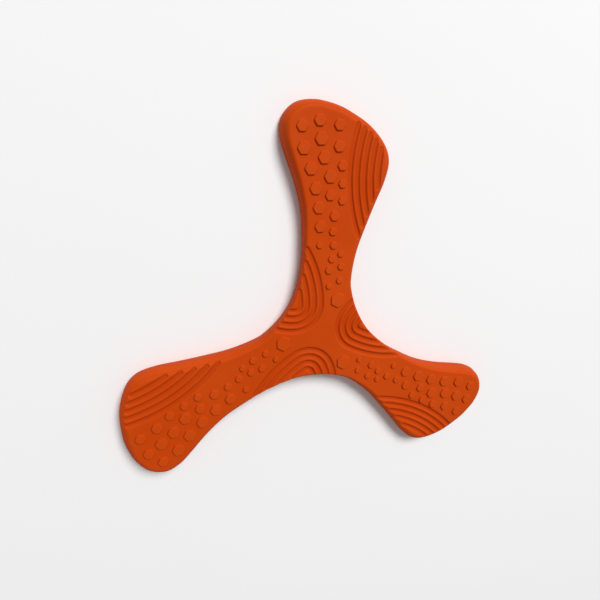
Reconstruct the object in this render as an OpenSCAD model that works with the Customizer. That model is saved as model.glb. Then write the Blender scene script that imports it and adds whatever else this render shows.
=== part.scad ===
// Three-bladed throwing boomerang, moulded in one piece of rubber. It is divided here
// into the regions a person would name: hub, pads, blades, studs and raised ribs.
// The hub axis is Z, the flat underside is at z = 0, and blade a points along +Y.
// Plan sizes are those of a 150 mm tip reach, and scale with it.

/* [Plan] */
// Distance from the hub axis to the end of a blade
tip_reach = 150; // [120:1:180]
// Distance from the hub axis to the middle of each hollow between two blades
crotch_reach = 31.5; // [30:0.1:32.5]
// Distance from the hub axis to the plane where each blade meets the hub
root_line = 31; // [30:0.5:32]

/* [Section] */
// Height of the flat top face
face_height = 13.9; // [13.4:0.1:18]
// Height over which the wall turns into the top face
lip_height = 5.5; // [4:0.1:8]
// Width over which it turns
lip_width = 2.6; // [1.5:0.1:3.5]
// Width over which it turns on the ribbed side
ribbed_lip_width = 4.6; // [2.5:0.1:5]
// How far short of level the turn stops on the ribbed side, which leaves a crease there
crease = 0.25; // [0:0.01:0.3]
// Radius of the bottom edge
bottom_round = 3; // [1:0.1:4]
// How far the bottom of the wall stands out at the tips
tip_flare = 3.2; // [0:0.1:4]
// How much less than that it stands out on the ribbed side
ribbed_side_cut = 2.6; // [0:0.1:3]
// How far the bottom of the wall is tucked in at the hollows
root_tuck = 2.5; // [0:0.1:3]

/* [Studs] */
// Height of the studs and pads above the top face
stud_height = 1.2; // [0.4:0.1:2]
// Width of the three hub pads, corner to corner
pad_width = 11; // [8:0.5:12]

/* [Grooves] */
// Height of the groove floors
groove_floor = 12.7; // [12.4:0.1:13.2]
// Width of a groove
groove_width = 2.7; // [2:0.1:3]
// Spacing of the grooves near the tips
tip_pitch = 4.85; // [4:0.05:5]
// Spacing of the grooves in the hollows
root_pitch = 4.8; // [4:0.05:4.8]
// Width of the plain rim that closes the tip grooves
tip_rim = 3; // [2:0.1:4]
// Width of the plain rim that closes the grooves in the hollows
root_rim = 0.8; // [0.6:0.1:2]

/* [Hidden] */

rubber = "#c94c14";
plan = tip_reach / 150;
tall = 2 * face_height;
half_groove = groove_width / 2;
wall_height = face_height - lip_height;

// The edge of one blade: from the hollow on its left, up and round the tip, and down
// to the next hollow. The second and the last knots lie on the root line.
edge_knots = [
    crotch_reach * [-cos(30), sin(30)],
    [-18.5, root_line], [-13.5, 50.5], [-12, 67.5], [-12, 85], [-15, 102], [-20, 119],
    [-22.5, 129.5], [-21.5, 139.5], [-14, 147], [-3, 149],
    [10.5, 147.5], [21.5, 143.5], [33.5, 136], [43, 125.5], [46.5, 115], [44, 102.5],
    [38, 88], [31.5, 71.5], [26, 56], [23, 41], [23, root_line]
];
knots = len(edge_knots);
steps = 4;
chain = knots * steps;
around = 3 * chain;
root_left = steps;
root_right = (knots - 1) * steps;
hollow_top = 3 * steps;

// The tip grooves are arcs about one centre, off to the right of the blade.
tip_arc_centre = [123.2, 105];
tip_arc_radius = 105;
tip_grooves = 5;

// A groove in a hollow is three arcs that run into one another: a short lower arm,
// a bend, and a long upper arm that climbs the edge of the blade.
bend_centre = [-18.5, 23];
bend_radius = 18.1;
lower_arm_radius = 32;
upper_arm_radius = 78;
root_grooves = 4;

// Studs as [x, y, width corner to corner], in three rows that climb the blade.
hollow_side_studs = [
    [-2, 63, 4.8], [-1.5, 75, 8.2], [-2.5, 87, 8.6], [-4.5, 99, 8.8],
    [-7.5, 111, 9], [-12, 123, 9], [-13, 135.5, 7.8]
];
middle_studs = [
    [4.5, 35, 4.6], [4.5, 46, 5.8], [6.5, 53.5, 5.6], [7.5, 62.5, 5.6],
    [7, 71.5, 5.8], [8, 81.5, 7.2], [5, 94.5, 7.4], [5, 106, 9],
    [1, 117.5, 9], [-1, 128.5, 9], [-2, 139, 8]
];
ribbed_side_studs = [
    [12, 38.5, 5.2], [13, 48, 5.4], [12.5, 56.5, 4.8], [13, 91, 6],
    [13, 101.5, 6], [12.8, 112.5, 7], [10.5, 124, 7.8], [10.5, 136.5, 7.6]
];
pad_place = [11, 24.8];

function turned(p, a) = [p.x * cos(a) - p.y * sin(a), p.x * sin(a) + p.y * cos(a)];

function arc(centre, radius, from, to) =
    [for (t = [0:0.1:1]) let (a = from + t * (to - from)) centre + radius * [cos(a), sin(a)]];

function reversed(points) = [for (i = [len(points) - 1:-1:0]) points[i]];

// The line at distance d in from the outermost groove of a hollow. Both its ends lie
// off the body.
function root_path(d) = concat(
    arc(bend_centre + [0, lower_arm_radius - bend_radius], lower_arm_radius - d, -135, -90),
    arc(bend_centre, bend_radius - d, -90, 0),
    arc(bend_centre + [bend_radius - upper_arm_radius, 0], upper_arm_radius - d, 0, 38)
);

// Knot i of the whole outline, which runs clockwise from blade to blade.
function knot(i) =
    let (k = (i + 3 * knots) % (3 * knots))
    turned(edge_knots[k % knots], -120 * floor(k / knots));

// A smooth curve through the knots, at t of the way from knot i to the next.
function curve(i, t) =
    let (a = knot(i - 1), b = knot(i), c = knot(i + 1), d = knot(i + 2))
    0.5 * (2 * b + t * (c - a) + t * t * (2 * a - 5 * b + 4 * c - d)
        + t * t * t * (3 * b - a - 3 * c + d));

function edge_point(j) = plan * curve(floor(j / steps), (j % steps) / steps);

// Outward direction at sample j. On a root line it runs along that line, so that the
// hub and the blade meet on one plane.
function outward(j) =
    let (
        d = edge_point(j + 1) - edge_point(j - 1 + around),
        turn = -120 * floor(j / chain)
    )
    j % chain == root_left ? turned([-1, 0], turn)
    : j % chain == root_right ? turned([1, 0], turn)
    : [-d.y, d.x] / norm(d);

// How far sample j has come from the hollows, at 0, to the tips, at 1.
function share(j) =
    let (low = plan * crotch_reach)
    (norm(edge_point(j)) - low) / (tip_reach - low);

// How far sample j is on the ribbed side: 1 along most of it, and 0 on the other side and
// in the hollows.
function ribbed(j) =
    let (p = turned(edge_point(j), 120 * floor(j / chain)))
    min(1, max(0, p.x) / (20 * plan)) * max(0, min(1, 3 * share(j)));

// How far the bottom of the wall stands out at sample j.
function flare(j) =
    share(j) * (tip_flare - ribbed(j) * ribbed_side_cut) - (1 - share(j)) * root_tuck;

// How far a unit arc has come in where it has climbed to height h.
function arc_inset(h) = 1 - sqrt(1 - h * h);

// How far in the lip is at sample j where it has climbed by this share of its height.
function lip_inset(j, climb) =
    let (
        width = lip_width + ribbed(j) * (ribbed_lip_width - lip_width),
        level = 1 - crease * ribbed(j)
    )
    width * arc_inset(climb * level) / arc_inset(level);

// The edge's section from the underside to the top face, as [distance in, height, share
// of the lip climbed].
section = [
    for (a = [0:30:90]) [bottom_round * (1 - sin(a)), bottom_round * (1 - cos(a)), 0],
    for (a = [0:18:90]) [0, wall_height + lip_height * sin(a), sin(a)]
];

function wall_point(j, s) =
    let (
        high = s.y / face_height,
        out = flare(j) * (1 - high * high) - s.x - lip_inset(j, s.z),
        p = edge_point(j) + out * outward(j)
    )
    [p.x, p.y, s.y];

// Faces that run like a ladder across the samples from first to last.
function ladder(first, last) = [
    for (i = [first:1:(first + last) / 2 - 1])
        let (k = first + last - i)
        i + 1 < k - 1 ? [i, i + 1, k - 1, k] : [i, i + 1, k]
];

// A closed shell over some samples of the outline. A gap in the run of samples is the
// flat end where the hub and a blade meet. The corners are upright edges inside the
// body, and the cap lists the faces of the top by their places in the run.
module shell(samples, cap, corners = []) {
    n = len(samples) + len(corners);
    points = [
        for (s = section) each concat(
            [for (j = samples) wall_point(j, s)],
            [for (c = corners) [plan * c.x, plan * c.y, s.y]]
        )
    ];
    walls = [
        for (r = [0:len(section) - 2], i = [0:n - 1])
            let (k = (i + 1) % n, low = r * n, high = low + n)
            [low + i, low + k, high + k, high + i]
    ];
    underside = [for (face = cap) [for (i = [len(face) - 1:-1:0]) face[i] % n]];
    top = [for (face = cap) [for (i = face) (len(section) - 1) * n + i % n]];
    polyhedron(points, concat(underside, walls, top));
}

module blade_shell() shell([for (j = [root_left:root_right]) j], ladder(0, root_right - root_left));

// The hub's caps are a ladder into each blade, about a triangle between the hollows.
module hub_shell() {
    middle = chain - root_right;
    count = middle + root_left + 1;
    shell(
        [for (b = [0:2], j = [root_right:chain + root_left]) (b * chain + j) % around],
        concat(
            [for (b = [0:2]) each ladder(b * count + middle, (b + 1) * count + middle)],
            [[for (b = [0:2]) b * count + middle]]
        )
    );
}

// The body around the hollow on the left of a blade, with one corner inside the body.
module hollow_shell() {
    samples = [for (j = [root_right - chain:hollow_top]) (j + around) % around];
    corner = len(samples);
    shell(samples, [for (i = [0:corner - 2]) [corner, i, i + 1]], [[10, 2]]);
}

// The plan inside a plain rim.
module inside_rim(width) polygon([for (j = [0:around - 1]) edge_point(j) - width * outward(j)]);

// The part of a ring that lies in the box between two corners.
module ring_part(centre, inner, outer, low, high) intersection() {
    translate(centre) difference() {
        circle(outer, $fn = 180);
        circle(inner, $fn = 180);
    }
    translate(low) square(high - low);
}

// A band along the grooves of a hollow, between two distances in from the outermost
// groove's middle.
module root_band(from, to) intersection() {
    polygon(plan * concat(root_path(from), reversed(root_path(to))));
    inside_rim(root_rim);
}

// A band along the tip grooves, closed at both ends by the rim.
module tip_band(from, to) intersection() {
    scale(plan) ring_part(tip_arc_centre, tip_arc_radius - to, tip_arc_radius - from,
        [10, 50], [55, 150]);
    inside_rim(tip_rim);
}

// What stands above the groove floors over a plan shape.
module above_floor() translate([0, 0, groove_floor]) linear_extrude(tall) children();

module root_field() above_floor() root_band(-half_groove, (root_grooves - 1) * root_pitch + half_groove);

module tip_field() above_floor() tip_band(-half_groove, (tip_grooves - 1) * tip_pitch + half_groove);

module stud(place, width, turn = 0)
    translate([plan * place.x, plan * place.y, face_height])
        rotate(turn) cylinder(stud_height, d = plan * width, $fn = 6);

// Children turned to the place of a blade: 0 for a, 1 for b and 2 for c, clockwise.
module at_blade(b) rotate(-120 * b) children();

module hub() color(rubber) difference() {
    hub_shell();
    for (b = [0:2]) at_blade(b) root_field();
}

module hub_pads() color(rubber) for (b = [0:2]) at_blade(b) stud(pad_place, pad_width, 30);

module blade() color(rubber) difference() {
    blade_shell();
    root_field();
    tip_field();
}

module studs() color(rubber)
    for (s = concat(hollow_side_studs, middle_studs, ribbed_side_studs)) stud(s, s[2]);

module tip_ribs() color(rubber) intersection() {
    blade_shell();
    above_floor() for (k = [1:tip_grooves - 1])
        tip_band((k - 1) * tip_pitch + half_groove, k * tip_pitch - half_groove);
}

module root_ribs() color(rubber) intersection() {
    hollow_shell();
    above_floor() for (k = [1:root_grooves - 1])
        root_band((k - 1) * root_pitch + half_groove, k * root_pitch - half_groove);
}

hub();
hub_pads();
at_blade(0) blade();  // blade_a
at_blade(1) blade();  // blade_b
at_blade(2) blade();  // blade_c
at_blade(0) studs();  // studs_a
at_blade(1) studs();  // studs_b
at_blade(2) studs();  // studs_c
at_blade(0) tip_ribs();  // tip_ribs_a
at_blade(1) tip_ribs();  // tip_ribs_b
at_blade(2) tip_ribs();  // tip_ribs_c
at_blade(1) root_ribs();  // root_ribs_ab
at_blade(2) root_ribs();  // root_ribs_bc
at_blade(0) root_ribs();  // root_ribs_ca
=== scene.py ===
import math

import bmesh
import bpy
from mathutils import Matrix, Vector
from mathutils.kdtree import KDTree


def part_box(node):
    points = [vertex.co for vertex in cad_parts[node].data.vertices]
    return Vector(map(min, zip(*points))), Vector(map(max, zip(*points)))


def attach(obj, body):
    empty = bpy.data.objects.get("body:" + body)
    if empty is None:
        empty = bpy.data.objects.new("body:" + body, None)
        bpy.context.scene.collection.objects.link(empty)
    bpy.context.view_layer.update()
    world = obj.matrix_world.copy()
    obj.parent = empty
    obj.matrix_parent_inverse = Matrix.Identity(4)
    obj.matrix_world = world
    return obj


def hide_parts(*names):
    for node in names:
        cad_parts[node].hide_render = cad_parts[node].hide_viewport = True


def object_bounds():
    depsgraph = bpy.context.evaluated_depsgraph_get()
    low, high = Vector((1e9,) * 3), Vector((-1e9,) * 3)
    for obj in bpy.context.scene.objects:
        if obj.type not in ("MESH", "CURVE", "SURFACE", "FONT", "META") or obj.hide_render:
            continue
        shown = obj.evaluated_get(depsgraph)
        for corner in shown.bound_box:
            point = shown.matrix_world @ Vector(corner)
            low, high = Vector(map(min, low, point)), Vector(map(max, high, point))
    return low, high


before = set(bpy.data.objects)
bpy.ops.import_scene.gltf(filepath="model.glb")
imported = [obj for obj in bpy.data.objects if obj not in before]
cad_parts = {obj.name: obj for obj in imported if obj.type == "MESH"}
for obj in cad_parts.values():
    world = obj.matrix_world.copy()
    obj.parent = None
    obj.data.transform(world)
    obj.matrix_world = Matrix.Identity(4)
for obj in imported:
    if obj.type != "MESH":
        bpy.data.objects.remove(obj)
cad_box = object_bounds()

# ---------------------------------------------------------------------------
# Sizes. Everything is worked out in millimetres and turned to metres at the end.
# ---------------------------------------------------------------------------
MM = 0.001
TURN = -120.0                     # from one blade to the next, in degrees
BLADES = {"a": 0, "b": 1, "c": 2}

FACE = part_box("studs_a")[0].z / MM          # height of the flat top face
STUD_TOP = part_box("studs_a")[1].z / MM      # height of the studs
ROOT_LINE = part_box("blade_a")[0].y / MM     # where a blade meets the hub
LIP_HEIGHT = 5.5                  # height over which the wall turns into the face
LIP_WIDTH = 2.6                   # width over which it turns
RIBBED_LIP_WIDTH = 4.6            # and on the ribbed side
CREASE = 0.25                     # how far short of level it stops on the ribbed side
BOTTOM_ROUND = 3.0
TIP_REACH = 150.0
CROTCH_REACH = 31.5
TIP_FLARE = 3.2
RIBBED_SIDE_CUT = 2.6
ROOT_TUCK = 2.5

GROOVE_FLOOR = 12.7
GROOVE_WIDTH = 2.7
FLANK_LEAN = 0.25                 # how much a groove widens on each side up to the face
CUTTER_TOP = FACE + 2.0           # the cutters end clear above the face
TIP_RIM = 3.0                     # plain rim that closes the tip grooves
ROOT_RIM = 0.8                    # and the grooves in the hollows
TIP_ARC_CENTRE = Vector((123.2, 105))
TIP_ARC_RADIUS = 105.0
TIP_PITCH = 4.85
TIP_GROOVES = 5
BEND_CENTRE = Vector((-18.5, 23))
BEND_RADIUS = 18.1
LOWER_ARM_RADIUS = 32.0
UPPER_ARM_RADIUS = 78.0
ROOT_PITCH = 4.8
ROOT_GROOVES = 4

GRAIN = 0.44                      # edge length of the finished body mesh
CURVE_STEPS = 12

# The edge of one blade, from the hollow on its left, round the tip, to the next hollow.
EDGE_KNOTS = [
    Vector((-CROTCH_REACH * math.cos(math.pi / 6), CROTCH_REACH / 2)),
    Vector((-18.5, 31)), Vector((-13.5, 50.5)), Vector((-12, 67.5)), Vector((-12, 85)),
    Vector((-15, 102)), Vector((-20, 119)), Vector((-22.5, 129.5)), Vector((-21.5, 139.5)),
    Vector((-14, 147)), Vector((-3, 149)), Vector((10.5, 147.5)), Vector((21.5, 143.5)),
    Vector((33.5, 136)), Vector((43, 125.5)), Vector((46.5, 115)), Vector((44, 102.5)),
    Vector((38, 88)), Vector((31.5, 71.5)), Vector((26, 56)), Vector((23, 41)),
    Vector((23, 31)),
]

# Studs as (x, y, width corner to corner), in three rows that climb the blade.
STUDS = [
    (-2, 63, 4.8), (-1.5, 75, 8.2), (-2.5, 87, 8.6), (-4.5, 99, 8.8),
    (-7.5, 111, 9), (-12, 123, 9), (-13, 135.5, 7.8),
    (4.5, 35, 4.6), (4.5, 46, 5.8), (6.5, 53.5, 5.6), (7.5, 62.5, 5.6),
    (7, 71.5, 5.8), (8, 81.5, 7.2), (5, 94.5, 7.4), (5, 106, 9),
    (1, 117.5, 9), (-1, 128.5, 9), (-2, 139, 8),
    (12, 38.5, 5.2), (13, 48, 5.4), (12.5, 56.5, 4.8), (13, 91, 6),
    (13, 101.5, 6), (12.8, 112.5, 7), (10.5, 124, 7.8), (10.5, 136.5, 7.6),
]
PAD = (11, 24.8, 11)


# ---------------------------------------------------------------------------
# Plan curve
# ---------------------------------------------------------------------------
def turned(point, degrees):
    """A plan point turned about the hub."""
    return Matrix.Rotation(math.radians(degrees), 2) @ point


def knot(i):
    """Knot i of the whole outline, which runs clockwise from blade to blade."""
    count = len(EDGE_KNOTS)
    i %= 3 * count
    return turned(EDGE_KNOTS[i % count], TURN * (i // count))


def outline():
    """Samples as (place, outward direction, flare of the foot, lip width, lip turn)."""
    places = []
    for i in range(3 * len(EDGE_KNOTS)):
        a, b, c, d = (knot(i + k) for k in (-1, 0, 1, 2))
        for step in range(CURVE_STEPS):
            t = step / CURVE_STEPS
            places.append(0.5 * (2 * b + t * (c - a) + t ** 2 * (2 * a - 5 * b + 4 * c - d)
                                 + t ** 3 * (3 * b - a - 3 * c + d)))
    samples = []
    one_blade = len(places) // 3
    for j, place in enumerate(places):
        along = places[(j + 1) % len(places)] - places[j - 1]
        outward = Vector((-along.y, along.x)).normalized()
        local = turned(place, -TURN * (j // one_blade))
        share = (place.length - CROTCH_REACH) / (TIP_REACH - CROTCH_REACH)
        ribbed = max(0.0, min(1.0, 3 * share)) * max(0.0, min(1.0, local.x / 20))
        flare = share * (TIP_FLARE - ribbed * RIBBED_SIDE_CUT) - (1 - share) * ROOT_TUCK
        lip = LIP_WIDTH + ribbed * (RIBBED_LIP_WIDTH - LIP_WIDTH)
        samples.append((place, outward, flare, lip, 1 - CREASE * ribbed))
    return samples


OUTLINE = outline()
EDGE_TREE = KDTree(len(OUTLINE))
for number, (place, *_) in enumerate(OUTLINE):
    EDGE_TREE.insert(place.to_3d(), number)
EDGE_TREE.balance()


def depth_inside(point):
    """How far a plan point lies inside the outline; below zero outside it."""
    near, number, distance = EDGE_TREE.find(point.to_3d())
    outward = OUTLINE[number][1]
    return -distance if (point - near.to_2d()).dot(outward) > 0 else distance


# ---------------------------------------------------------------------------
# Mesh helpers
# ---------------------------------------------------------------------------
def only(kind, geometry):
    return [item for item in geometry if isinstance(item, kind)]


def to_object(bm, name):
    """A mesh object from a bmesh in millimetres, in metres and at the origin."""
    bmesh.ops.scale(bm, vec=(MM, MM, MM), verts=bm.verts)
    mesh = bpy.data.meshes.new(name)
    bm.to_mesh(mesh)
    bm.free()
    piece = bpy.data.objects.new(name, mesh)
    bpy.context.scene.collection.objects.link(piece)
    return piece


def repeat_round(bm, blades):
    """Puts what was made for the first blade on each of the blades of these numbers."""
    def turn(geometry, blade):
        bmesh.ops.rotate(bm, verts=only(bmesh.types.BMVert, geometry), cent=(0, 0, 0),
                         matrix=Matrix.Rotation(math.radians(TURN * blade), 3, "Z"))

    pattern = bm.verts[:] + bm.edges[:] + bm.faces[:]
    for blade in blades[1:]:
        turn(bmesh.ops.duplicate(bm, geom=pattern)["geom"], blade)
    turn(pattern, blades[0])


def shade_smooth(bm):
    for face in bm.faces:
        face.smooth = True


def discard(piece):
    mesh = piece.data
    bpy.data.objects.remove(piece)
    bpy.data.meshes.remove(mesh)


# ---------------------------------------------------------------------------
# The moulded body
# ---------------------------------------------------------------------------
def edge_section():
    """The edge from the underside to the face, as (distance in, height, climb up the lip)."""
    foot = [(BOTTOM_ROUND * (1 - math.sin(a)), BOTTOM_ROUND * (1 - math.cos(a)), 0.0)
            for a in (math.radians(step * 15) for step in range(7))]
    lip = [(0.0, FACE - LIP_HEIGHT * (1 - math.sin(a)), math.sin(a))
           for a in (math.radians(step * 5) for step in range(19))]
    return foot + lip


def arc_rise(turn):
    """How far a unit arc has come in where it has climbed to this height."""
    return 1 - math.sqrt(1 - turn * turn)


def blank():
    """The body before its grooves: the outline drawn up through the edge's section."""
    bm = bmesh.new()
    sample = bm.verts.layers.int.new("sample")

    def place_ring(verts, inset, height, climb):
        for vert in verts:
            place, outward, flare, lip, turn = OUTLINE[vert[sample]]
            lip_inset = lip * arc_rise(climb * turn) / arc_rise(turn)
            out = flare * (1 - (height / FACE) ** 2) - inset - lip_inset
            vert.co = (place + out * outward).to_3d()
            vert.co.z = height

    section = edge_section()
    ring = [bm.verts.new() for _ in OUTLINE]
    for number, vert in enumerate(ring):
        vert[sample] = number
    edges = [bm.edges.new((ring[i - 1], ring[i])) for i in range(len(ring))]
    place_ring(ring, *section[0])
    bmesh.ops.contextual_create(bm, geom=edges)
    for level in section[1:]:
        made = bmesh.ops.extrude_edge_only(bm, edges=edges)["geom"]
        edges = only(bmesh.types.BMEdge, made)
        place_ring(only(bmesh.types.BMVert, made), *level)
    bmesh.ops.contextual_create(bm, geom=edges)
    bmesh.ops.recalc_face_normals(bm, faces=bm.faces)
    return to_object(bm, "blank")


def groove_profile(bm, centre, radius, angle):
    """A groove's section, upright at an angle on an arc: narrow floor, leaning flanks."""
    half = GROOVE_WIDTH / 2
    rise = (CUTTER_TOP - GROOVE_FLOOR) / (FACE - GROOVE_FLOOR)
    wide = half + rise * FLANK_LEAN
    corners = [(-half, GROOVE_FLOOR), (half, GROOVE_FLOOR),
               (wide, CUTTER_TOP), (-wide, CUTTER_TOP)]
    out = Vector((math.cos(math.radians(angle)), math.sin(math.radians(angle))))
    verts = []
    for across, height in corners:
        spot = centre + (radius + across) * out
        verts.append(bm.verts.new((spot.x, spot.y, height)))
    return [bm.faces.new(verts)]


def sweep(bm, geometry, centre, start, stop):
    """Spins a section about an upright axis and gives the section at the far end."""
    steps = max(2, int(abs(stop - start) / 2))
    spun = bmesh.ops.spin(bm, geom=geometry, cent=centre.to_3d(), axis=(0, 0, 1),
                          angle=math.radians(stop - start), steps=steps)
    return spun["geom_last"]


def rim_angle(centre, radius, start, stop, rim):
    """The angle at which an arc, followed from start towards stop, comes to the rim."""
    margin = rim + GROOVE_WIDTH / 2
    steps = 400
    for i in range(steps + 1):
        angle = start + (stop - start) * i / steps
        if depth_inside(arc_point(centre, radius, angle)) < margin:
            return angle
    return stop


def arc_point(centre, radius, angle):
    a = math.radians(angle)
    return centre + radius * Vector((math.cos(a), math.sin(a)))


def groove_end(bm, spot):
    """A round end for a groove."""
    lean = FLANK_LEAN / (FACE - GROOVE_FLOOR)
    deep = CUTTER_TOP - GROOVE_FLOOR
    bmesh.ops.create_cone(
        bm, cap_ends=True, segments=32, radius1=GROOVE_WIDTH / 2,
        radius2=GROOVE_WIDTH / 2 + lean * deep, depth=deep,
        matrix=Matrix.Translation((spot.x, spot.y, GROOVE_FLOOR + deep / 2)))


def cut_tip_grooves(channels, ends):
    """Concentric arcs by the tip, with round ends at the rim."""
    for k in range(TIP_GROOVES):
        radius = TIP_ARC_RADIUS - k * TIP_PITCH
        first = rim_angle(TIP_ARC_CENTRE, radius, 180, 140, TIP_RIM)
        last = rim_angle(TIP_ARC_CENTRE, radius, 180, 220, TIP_RIM)
        section = groove_profile(channels, TIP_ARC_CENTRE, radius, first)
        sweep(channels, section, TIP_ARC_CENTRE, first, last)
        groove_end(ends, arc_point(TIP_ARC_CENTRE, radius, first))
        groove_end(ends, arc_point(TIP_ARC_CENTRE, radius, last))


def cut_root_grooves(channels, ends):
    """Nested grooves in a hollow: a lower arm, a bend, and an upper arm up the blade."""
    lower_centre = BEND_CENTRE + Vector((0, LOWER_ARM_RADIUS - BEND_RADIUS))
    upper_centre = BEND_CENTRE + Vector((BEND_RADIUS - UPPER_ARM_RADIUS, 0))
    for k in range(ROOT_GROOVES):
        inward = k * ROOT_PITCH
        lower, upper = LOWER_ARM_RADIUS - inward, UPPER_ARM_RADIUS - inward
        first = rim_angle(lower_centre, lower, -90, -150, ROOT_RIM)
        last = rim_angle(upper_centre, upper, 0, 45, ROOT_RIM)
        section = groove_profile(channels, lower_centre, lower, first)
        section = sweep(channels, section, lower_centre, first, -90)
        section = sweep(channels, section, BEND_CENTRE, -90, 0)
        sweep(channels, section, upper_centre, 0, last)
        groove_end(ends, arc_point(lower_centre, lower, first))
        groove_end(ends, arc_point(upper_centre, upper, last))


def gate_mark(ends):
    """The shallow dimple under the hub where the rubber was let into the mould."""
    depth = 0.6
    bmesh.ops.create_cone(ends, cap_ends=True, segments=48, radius1=4.0, radius2=3.4,
                          depth=2 * depth)


def groove_cutters():
    """Two cutters for all the grooves: the channels and their round ends."""
    channels, ends = bmesh.new(), bmesh.new()
    cut_tip_grooves(channels, ends)
    cut_root_grooves(channels, ends)
    cutters = []
    for bm, name in ((channels, "channels"), (ends, "ends")):
        repeat_round(bm, list(BLADES.values()))
        if name == "ends":
            gate_mark(bm)
        bmesh.ops.recalc_face_normals(bm, faces=bm.faces)
        cutters.append(to_object(bm, name))
    return cutters


def moulding():
    """The whole body with its grooves and soft edges, as one bmesh in metres."""
    body = blank()
    cutters = groove_cutters()
    for cutter in cutters:
        cut = body.modifiers.new("cut", "BOOLEAN")
        cut.operation = "DIFFERENCE"
        cut.solver = "EXACT"
        cut.object = cutter
    remesh = body.modifiers.new("grain", "REMESH")
    remesh.mode = "VOXEL"
    remesh.voxel_size = GRAIN * MM
    soften = body.modifiers.new("soften", "SMOOTH")
    soften.factor = 0.5
    soften.iterations = 4
    bpy.context.view_layer.update()
    finished = body.evaluated_get(bpy.context.evaluated_depsgraph_get())
    bm = bmesh.new()
    bm.from_mesh(finished.to_mesh())
    finished.to_mesh_clear()
    for spare in cutters + [body]:
        discard(spare)
    return bm


def part_off(whole, name, cuts):
    """A piece of the moulding. Each cut is (blade number, side kept), at a root line."""
    bm = whole.copy()
    for blade, keep_outer in cuts:
        along = turned(Vector((0, 1)), TURN * blade).to_3d()
        bmesh.ops.bisect_plane(
            bm, geom=bm.verts[:] + bm.edges[:] + bm.faces[:], dist=1e-7,
            plane_co=ROOT_LINE * MM * along, plane_no=along,
            clear_inner=keep_outer, clear_outer=not keep_outer)
    shade_smooth(bm)
    open_edges = [edge for edge in bm.edges if edge.is_boundary]
    for edge in open_edges:
        edge.smooth = False
    caps = bmesh.ops.holes_fill(bm, edges=open_edges, sides=0)["faces"]
    for cap in caps:
        cap.smooth = False
    bmesh.ops.triangulate(bm, faces=caps)
    mesh = bpy.data.meshes.new(name)
    bm.to_mesh(mesh)
    bm.free()
    piece = bpy.data.objects.new(name, mesh)
    bpy.context.scene.collection.objects.link(piece)
    return piece


# ---------------------------------------------------------------------------
# Studs
# ---------------------------------------------------------------------------
def add_stud(bm, x, y, width, turn):
    """A hexagonal stud: filleted foot, leaning sides, soft corners and a flat top."""
    flat = width / 2 * math.cos(math.pi / 6)
    foot, lean, lip, border = 0.35, 0.2, 0.3, 0.4
    sunk, overlap = 0.5, 0.02
    quarter = [math.radians(a) for a in range(0, 91, 18)]
    section = [(foot, FACE - sunk)]
    section += [(foot * (1 - math.sin(a)), FACE - overlap + foot * (1 - math.cos(a)))
                for a in quarter]
    section += [(-lean - lip * (1 - math.cos(a)), STUD_TOP - lip * (1 - math.sin(a)))
                for a in quarter]
    section += [(-lean - lip - border, STUD_TOP)]
    circle = bmesh.ops.create_circle(bm, cap_ends=True, segments=6, radius=width / 2)
    corners = circle["verts"]
    bmesh.ops.rotate(bm, verts=corners, cent=(0, 0, 0),
                     matrix=Matrix.Rotation(math.radians(turn), 3, "Z"))
    softened = bmesh.ops.bevel(bm, geom=corners, affect="VERTICES", offset=0.07 * width,
                               segments=3, profile=0.5, material=-1)
    face = softened["verts"][0].link_faces[0]
    made = list(face.verts)
    reach, level = 0.0, 0.0
    for step, (out, height) in enumerate(section):
        if step:
            region = [face, *face.edges, *face.verts]
            extruded = bmesh.ops.extrude_face_region(bm, geom=region)["geom"]
            face = only(bmesh.types.BMFace, extruded)[0]
            made += only(bmesh.types.BMVert, extruded)
        size = (flat + out) / (flat + reach)
        bmesh.ops.scale(bm, vec=(size, size, 1), verts=face.verts)
        bmesh.ops.translate(bm, vec=(0, 0, height - level), verts=face.verts)
        reach, level = out, height
    bmesh.ops.translate(bm, vec=(x, y, 0), verts=made)


def stud_piece(name, places, blades, stud_turn):
    """The studs of one group, on the blades of these numbers."""
    bm = bmesh.new()
    for x, y, width in places:
        add_stud(bm, x, y, width, stud_turn)
    repeat_round(bm, blades)
    bmesh.ops.recalc_face_normals(bm, faces=bm.faces)
    shade_smooth(bm)
    return to_object(bm, name)


# ---------------------------------------------------------------------------
# Rubber
# ---------------------------------------------------------------------------
class Socket:
    """A shader socket that can be used in Python sums; numbers stay numbers."""

    def __init__(self, paint, link):
        self.paint, self.link = paint, link

    def _sum(self, operation, first, second):
        return self.paint.node("ShaderNodeMath", {"operation": operation}, {0: first, 1: second})

    def __add__(self, other):
        return self._sum("ADD", self, other)

    def __sub__(self, other):
        return self._sum("SUBTRACT", self, other)

    def __rsub__(self, other):
        return self._sum("SUBTRACT", other, self)

    def __mul__(self, other):
        return self._sum("MULTIPLY", self, other)

    __radd__ = __add__
    __rmul__ = __mul__


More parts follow.
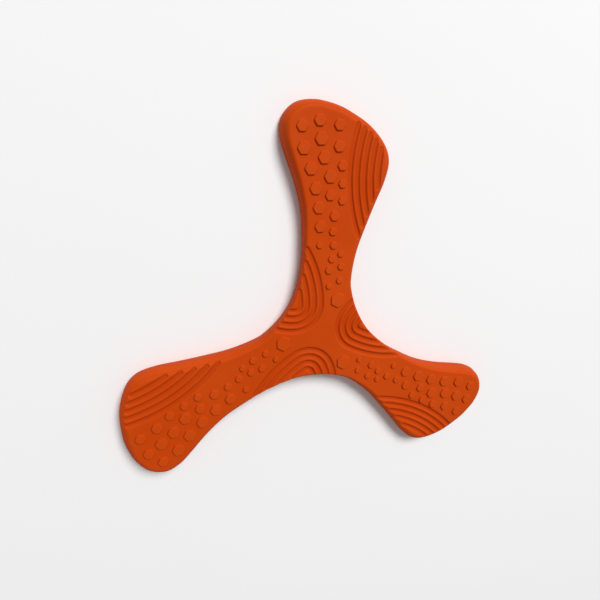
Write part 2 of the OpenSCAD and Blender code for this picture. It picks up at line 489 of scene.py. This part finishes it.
class Paint:
    """A material under construction."""

    def __init__(self, name):
        self.material = bpy.data.materials.new(name)
        self.material.use_nodes = True
        self.tree = self.material.node_tree
        self.tree.nodes.clear()

    def node(self, kind, settings=None, inputs=None, output=0):
        """A node of some type, its settings made first, then its sockets."""
        node = self.tree.nodes.new(kind)
        for name, value in (settings or {}).items():
            setattr(node, name, value)
        for name, value in (inputs or {}).items():
            if isinstance(value, Socket):
                self.tree.links.new(value.link, node.inputs[name])
            else:
                node.inputs[name].default_value = value
        return Socket(self, node.outputs[output])

    def noise(self, where, scale, detail=2.0, roughness=0.5):
        return self.node("ShaderNodeTexNoise", {}, {
            "Vector": where, "Scale": scale, "Detail": detail, "Roughness": roughness})

    def between(self, value, low, high):
        """0 below low, 1 above high, and even in between."""
        return self.node("ShaderNodeMapRange", {"interpolation_type": "SMOOTHSTEP"}, {
            "Value": value, "From Min": low, "From Max": high})

    def mix(self, factor, first, second):
        return self.node("ShaderNodeMix", {"data_type": "RGBA"}, {
            "Factor": factor, 6: first, 7: second}, output=2)

    def finish(self, surface):
        output = self.tree.nodes.new("ShaderNodeOutputMaterial")
        self.tree.links.new(surface.link, output.inputs["Surface"])
        return self.material


def rubber():
    """Orange moulded rubber: matt, finely grained, with painted shade on the groove floors and a
    painted highlight that makes the stud tops paler.
    """
    paint = Paint("orange_rubber")
    where = paint.node("ShaderNodeTexCoord", output=3)
    height = paint.node("ShaderNodeSeparateXYZ", {}, {"Vector": where}, output=2)
    cloud = paint.noise(where, 28.0, detail=3.0)
    speckle = paint.noise(where, 900.0, detail=2.0)
    grain = paint.noise(where, 2600.0, detail=3.0, roughness=0.6)

    body = (0.532, 0.055, 0.0018, 1)
    paler = (0.555, 0.062, 0.0035, 1)
    # deep: darker orange, used for painted shade on the groove floors and for random darker
    # speckle
    deep = (0.480, 0.043, 0.0015, 1)
    # paler orange for a painted highlight on the stud tops
    stud_top_highlight = (0.590, 0.072, 0.0060, 1)
    color = paint.mix(paint.between(cloud, 0.35, 0.65), body, paler)
    # Painted shade: the groove floors are darkened, masked by height just around the floor
    # level.
    below = paint.between(height, (GROOVE_FLOOR - 0.25) * MM, (GROOVE_FLOOR - 0.05) * MM)
    above = paint.between(height, (GROOVE_FLOOR + 0.05) * MM, (GROOVE_FLOOR + 0.35) * MM)
    color = paint.mix(below * (1 - above) * 0.6, color, deep)
    # Painted highlight: the stud tops and upper sides are made paler, masked by height above the
    # face.
    stud_top = paint.between(height, (FACE + 0.2) * MM, (FACE + 0.5) * MM)
    color = paint.mix(stud_top * 0.35, color, stud_top_highlight)
    color = paint.mix(paint.between(speckle, 0.62, 0.8) * 0.25, color, deep)

    rough = 0.50 + 0.10 * cloud + 0.06 * speckle
    bump = paint.node("ShaderNodeBump", {}, {
        "Strength": 0.25, "Distance": 0.0002, "Height": grain})
    surface = paint.node("ShaderNodeBsdfPrincipled", {}, {
        "Base Color": color, "Roughness": rough, "Normal": bump, "IOR": 1.50,
        "Specular IOR Level": 0.06})
    return paint.finish(surface)


# ---------------------------------------------------------------------------
# Pieces
# ---------------------------------------------------------------------------
RUBBER = rubber()


def install(piece, *nodes):
    """Finishes a piece: gives it the rubber, hangs it on the root body and hides the nodes of
    the frame it stands for.
    """
    piece.data.materials.append(RUBBER)
    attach(piece, "root")
    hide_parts(*nodes)


def build_boomerang():
    whole = moulding()
    hub = part_off(whole, "hub_moulding", [(number, False) for number in BLADES.values()])
    install(hub, "hub", "root_ribs_ab", "root_ribs_bc", "root_ribs_ca")
    for letter, number in BLADES.items():
        blade = part_off(whole, "blade_moulding_" + letter, [(number, True)])
        install(blade, "blade_" + letter, "tip_ribs_" + letter)
        studs = stud_piece("stud_rows_" + letter, STUDS, [number], 30)
        install(studs, "studs_" + letter)
    whole.free()
    pads = stud_piece("root_pads", [PAD], list(BLADES.values()), 0)
    install(pads, "hub_pads")


# ---------------------------------------------------------------------------
# Studio
# ---------------------------------------------------------------------------
def matt(name, color):
    paint = Paint(name)
    where = paint.node("ShaderNodeTexCoord", output=3)
    fleck = paint.noise(where, 6.0)
    shade = paint.mix(fleck, color, tuple(0.985 * c for c in color[:3]) + (1,))
    surface = paint.node("ShaderNodeBsdfPrincipled", {}, {
        "Base Color": shade, "Roughness": 0.9, "Specular IOR Level": 0.1})
    return paint.finish(surface)


def floor():
    bm = bmesh.new()
    bmesh.ops.create_grid(bm, x_segments=1, y_segments=1, size=4000)
    bmesh.ops.translate(bm, vec=(0, 0, cad_box[0][2] / MM - 0.05), verts=bm.verts)
    ground = to_object(bm, "studio_floor")
    ground.data.materials.append(matt("studio_paper", (0.9, 0.9, 0.9, 1)))


def softbox(name, place, size, power):
    """A soft round light aimed at the origin."""
    light = bpy.data.lights.new(name, "AREA")
    light.shape = "DISK"
    light.size = size
    light.energy = power
    lamp = bpy.data.objects.new(name, light)
    lamp.location = place
    aim = -Vector(place)
    lamp.rotation_euler = aim.to_track_quat("-Z", "Y").to_euler()
    bpy.context.scene.collection.objects.link(lamp)


def lights():
    world = bpy.data.worlds.new("studio")
    world.use_nodes = True
    background = world.node_tree.nodes["Background"]
    background.inputs["Color"].default_value = (1, 1, 1, 1)
    background.inputs["Strength"].default_value = 0.3
    bpy.context.scene.world = world
    softbox("key", (1.50, 3.40, 4.30), 2.6, 312.0)


def camera():
    lens = bpy.data.cameras.new("camera")
    lens.lens = 26.20
    lens.sensor_width = 36
    lens.shift_x = -0.0216
    lens.shift_y = -0.0168
    lens.clip_start = 0.01
    eye = bpy.data.objects.new("camera", lens)
    tilt = Matrix.Rotation(math.radians(16.191), 4, "X")
    tilt = tilt @ Matrix.Rotation(math.radians(15.706), 4, "Y")
    eye.matrix_world = Matrix.Translation((-0.0818, 0.1141, 0.2820)) @ tilt.inverted()
    bpy.context.scene.collection.objects.link(eye)
    bpy.context.scene.camera = eye


bpy.context.scene.view_settings.view_transform = "Standard"
camera()
lights()
floor()
build_boomerang()
